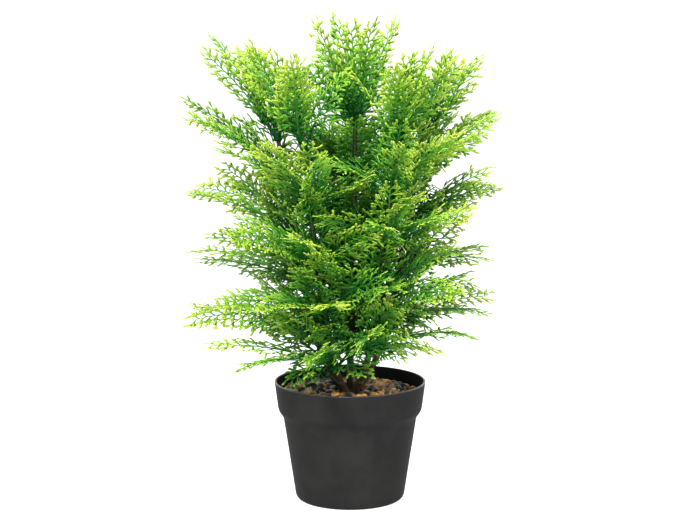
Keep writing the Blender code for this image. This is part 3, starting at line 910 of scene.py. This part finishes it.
def inner_shoots(index, seed):
    """Shorter sprays that turn back towards the middle of the tree and fill its gaps."""
    r = np.random.default_rng(seed)
    if index == CLUSTERS_PER_STEM - 1:
        back = [(180 + turn, 0.072, 72, 48, r.uniform(-60, 60), 0.020) for turn in (-55, 55)]
        return back + [(turn, r.uniform(0.074, 0.086), 84, r.uniform(58, 68), r.uniform(-60, 60), 0.022)
                       for turn in (-17, 17)]
    shoots = [shoot(r, 180 + turn, 0, (0.070, 0.088), (36, 58), (4, 28), 60, 0.023)
              for turn in (-92, -30, 30, 92)]
    shoots += [shoot(r, turn, 8, (0.066, 0.082), (70, 84), (40, 56), 20, 0.024) for turn in (-26, 26)]
    between = (-17, 17)[index % 2]
    shoots.append(shoot(r, between, 5, (0.088, 0.102), (48, 62), (12, 28), 60, 0.0235))
    if index == 0:
        shoots += [shoot(r, turn, 6, (0.034, 0.042), (16, 26), (-26, -12), 25, 0.017)
                   for turn in (-80, 0, 80)]
    return shoots


def centre_shoots(index, seed):
    """Short sprays that fill the crown's heart, and one that stands up at its top."""
    r = np.random.default_rng(seed)
    top = index == len(CENTRE_GAPS)
    turns = (18, 90, 162, 234, 306)[index % 2::2 if top else 1]
    shoots = [shoot(r, turn, 12, (0.055, 0.07), (45, 65), (15, 40), 60, 0.021) for turn in turns]
    if top:
        shoots.append((-96, 0.092, 87, 74, 8, 0.023))
    return shoots


def make_cluster(node, body, centre, azimuth, lean, shaft, sprays, seed):
    """The branched sprays that stand in for one of the frame's leaf pieces."""
    outward = math.hypot(centre.x, centre.y)
    mesh = cluster_mesh(node, lean, shaft, sprays, azimuth, outward, centre.z, seed)
    mesh.transform(Matrix.Translation(centre))
    name = "sprays" + node.replace("leaf_cluster", "").replace("leaf_spray", "")
    cluster = new_object(name, mesh, FOLIAGE)
    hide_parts(node)
    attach(cluster, body)
    return cluster


def make_stem_group(name, number, route, plans, half_width):
    """A stem with its sleeve and its clusters, on the pivot of its joint."""
    joint = joints[name + "_bend"]
    pivot = Vector(joint["pos_m"])
    azimuth = math.degrees(math.atan2(pivot.y, pivot.x)) if name != "centre" else 0
    out_way, _ = ways_of(azimuth)
    make_stem(name, pivot, azimuth, route)
    make_sleeve(name, pivot, azimuth, route[1][0])
    for level, (station, sprays) in enumerate(plans):
        point, lean = route_point(route, station)
        centre = pivot + out_way * point.x + Vector((0, 0, point.z))
        seed = number * 20 + level
        fan = [spray + (half_width,) for spray in sprays]
        fan += centre_shoots(level, seed) if name == "centre" else inner_shoots(level, seed)
        node = "leaf_cluster_%s_%d" % (name, level + 1)
        make_cluster(node, name + "_stem", centre, azimuth, lean, stem_radius(station), fan, seed)


def make_low_spray():
    """The short spray on the trunk base's peg, over the gravel at the front left."""
    way, _ = ways_of(LOW_SPRAY_AZIMUTH)
    lean = math.radians(PEG_LEAN)
    foot = way * PEG_OUT + Vector((0, 0, RIM_Z - PEG_DEPTH))
    along = way * math.sin(lean) + Vector((0, 0, math.cos(lean)))
    centre = foot + along * (PEG_LENGTH - HUB_LENGTH / 2)
    spray = (LOW_SPRAY_TURN, LOW_SPRAY_LENGTH, LOW_SPRAY_START, LOW_SPRAY_END, LOW_SPRAY_ROLL,
             LOW_SPRAY_HALF_WIDTH)
    make_cluster("leaf_spray_low", "base", centre, LOW_SPRAY_AZIMUTH, lean, PEG_RADIUS, [spray],
                 LOW_SPRAY_SEED)


def dress_frame():
    """Better materials on the frame's own pieces that stay in view."""
    for node, finish in (("gravel_layer", BED), ("cast_plug", CEMENT), ("trunk_base", BARK)):
        nodes[node].data.materials.clear()
        nodes[node].data.materials.append(finish)
    for node in nodes:
        if node.startswith("wire_core"):
            nodes[node].data.materials.clear()
            nodes[node].data.materials.append(WIRE)


# ---------------------------------------------------------------- stage
def make_stage():
    """White floor that curves up into a bright backdrop, and a soft surround."""
    profile = [(STAGE_FRONT, 0), (BEND_START, 0)]
    profile += [(BEND_START + BEND_RADIUS * math.sin(t), BEND_RADIUS - BEND_RADIUS * math.cos(t))
                for t in np.linspace(0.1, math.pi / 2, 14)]
    profile += [(BEND_START + BEND_RADIUS, BACKDROP_TOP)]
    points = np.array([(x, y, z) for y, z in profile for x in (-STAGE_HALF_WIDTH, STAGE_HALF_WIDTH)])
    faces = [[2 * i, 2 * i + 1, 2 * i + 3, 2 * i + 2] for i in range(len(profile) - 1)]
    made, tree, shader = node_material("floor")
    shader.inputs["Base Color"].default_value = (0.30, 0.30, 0.30, 1)
    shader.inputs["Roughness"].default_value = 0.9
    shader.inputs["Emission Color"].default_value = (1, 1, 1, 1)
    shader.inputs["Emission Strength"].default_value = BACKDROP_GLOW
    floor = new_object("floor", mesh_of("floor", points, faces), made)
    world = bpy.data.worlds.new("studio")
    bpy.context.scene.world = world
    world.use_nodes = True
    tree = world.node_tree
    way = tree.nodes.new("ShaderNodeTexCoord")
    split = tree.nodes.new("ShaderNodeSeparateXYZ")
    tree.links.new(way.outputs["Generated"], split.inputs["Vector"])
    dim = (WORLD_STRENGTH,) * 3
    sky = ramp(tree, split.outputs["Z"], [(0.0, (1, 1, 1)), (0.16, (1, 1, 1)), (0.34, dim)])
    tree.links.new(sky, tree.nodes["Background"].inputs["Color"])


def add_area(name, location, target, size, power):
    light = bpy.data.lights.new(name, "AREA")
    light.size = size
    light.energy = power
    lamp = bpy.data.objects.new(name, light)
    bpy.context.scene.collection.objects.link(lamp)
    lamp.location = location
    lamp.rotation_euler = (Vector(target) - Vector(location)).to_track_quat("-Z", "Y").to_euler()


def make_lights():
    add_area("key", (-0.6, -1.7, 1.75), (0, 0, 0.28), 0.5, 112)
    add_area("fill", (1.5, -1.5, 1.0), (0, 0, 0.25), 0.8, 26)
    add_area("top", (0.2, 0.3, 2.2), (0, 0, 0.3), 0.8, 50)


def make_camera():
    camera = bpy.data.cameras.new("camera")
    camera.lens = LENS
    camera.sensor_width = 36
    item = bpy.data.objects.new("camera", camera)
    bpy.context.scene.collection.objects.link(item)
    item.location = (0, -CAMERA_DISTANCE, CAMERA_HEIGHT)
    aim = Vector((0, 0, LOOK_HEIGHT)) - item.location
    item.rotation_euler = aim.to_track_quat("-Z", "Y").to_euler()
    bpy.context.scene.camera = item


make_camera()
make_stage()
make_lights()
dress_frame()
make_pot()
make_stones()
make_low_spray()
outer_route = stem_route(STEM_LENGTH, LEAN_FOOT, LEAN_TOP)
for order, stem_name in enumerate(STEM_REACH):
    plan = [cluster_plan(order, level, STEM_REACH[stem_name]) for level in range(CLUSTERS_PER_STEM)]
    make_stem_group(stem_name, order, outer_route, plan, FROND_HALF_WIDTH)
make_stem_group("centre", CENTRE_NUMBER, stem_route(CENTRE_LENGTH, *CENTRE_LEANS),
                [centre_plan(level) for level in range(len(CENTRE_STATIONS))], CENTRE_HALF_WIDTH)

bpy.context.scene.view_settings.view_transform = "Standard"
